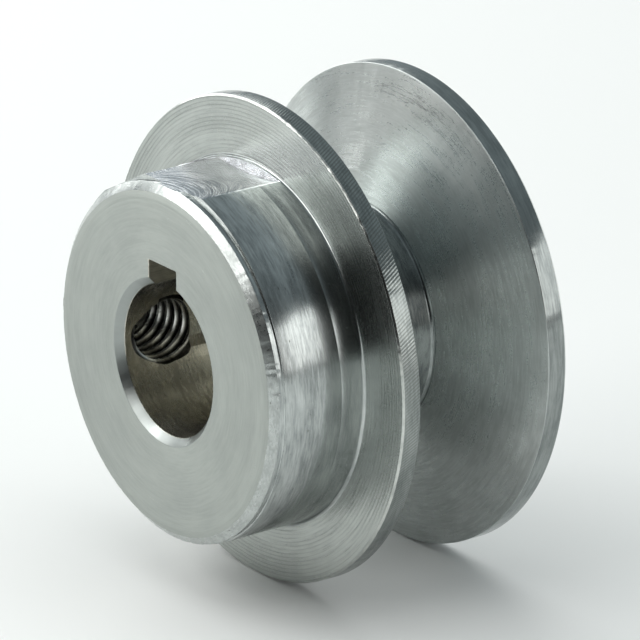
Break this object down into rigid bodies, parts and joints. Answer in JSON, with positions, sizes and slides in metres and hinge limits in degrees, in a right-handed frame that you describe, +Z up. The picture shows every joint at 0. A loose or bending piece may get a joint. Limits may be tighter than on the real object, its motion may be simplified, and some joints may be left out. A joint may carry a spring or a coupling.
{
  "type": "v belt pulley",
  "caption": "Turned steel V-belt pulley with one groove, a hub on one side, a keyed bore and a radial set screw through the hub.",
  "frame": {"origin": "on the shaft axis, in the mid-plane of the belt groove", "axes": "+Y along the shaft axis, from the hub's face to the plain rear face; +Z up through the keyway; the set screw is on the -X side"},
  "size_m": [0.0508, 0.0318, 0.0508],
  "materials": {
    "zinc_plated_steel": "satin, turned",
    "screw_steel": "satin, plated"
  },
  "bodies": {
    "pulley": {"pulley_body": "zinc_plated_steel"},
    "screw": {"set_screw": "screw_steel"}
  },
  "joints": [
    {"name": "screw_travel", "type": "slide", "parent": "pulley", "child": "screw", "axis": [1, 0, 0], "range_m": [-0.00282, 0.00847]}
  ]
}
